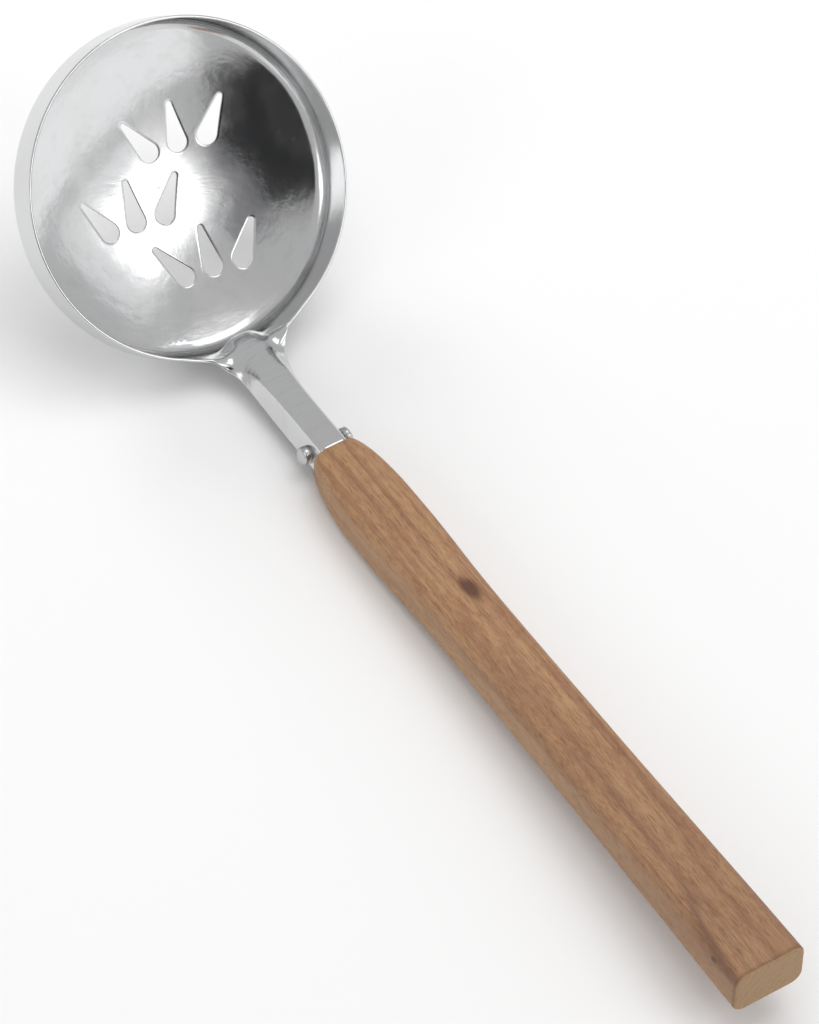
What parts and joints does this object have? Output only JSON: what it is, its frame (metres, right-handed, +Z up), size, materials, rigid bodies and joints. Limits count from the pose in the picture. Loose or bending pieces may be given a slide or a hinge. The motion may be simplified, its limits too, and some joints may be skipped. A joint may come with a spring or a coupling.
{
  "type": "slotted hand scoop",
  "caption": "Round stamped steel scoop with teardrop sifting slots, a channel shank and a straight wooden handle held by a cross rivet.",
  "frame": {"origin": "on the resting surface, below the middle of the overall length and on the middle plane of bowl and handle", "axes": "+X from the bowl to the butt of the handle, +Y across the bowl, +Z up from the resting surface"},
  "size_m": [0.3518, 0.1026, 0.0811],
  "materials": {
    "head_steel": "bright polished sheet with fine scratches",
    "handle_wood": "worn oiled reddish-brown hardwood",
    "rivet_steel": "satin, darker in the rolled end"
  },
  "bodies": {
    "root": {"scoop_head": "head_steel", "wood_handle": "handle_wood", "cross_rivet": "rivet_steel"}
  },
  "joints": []
}
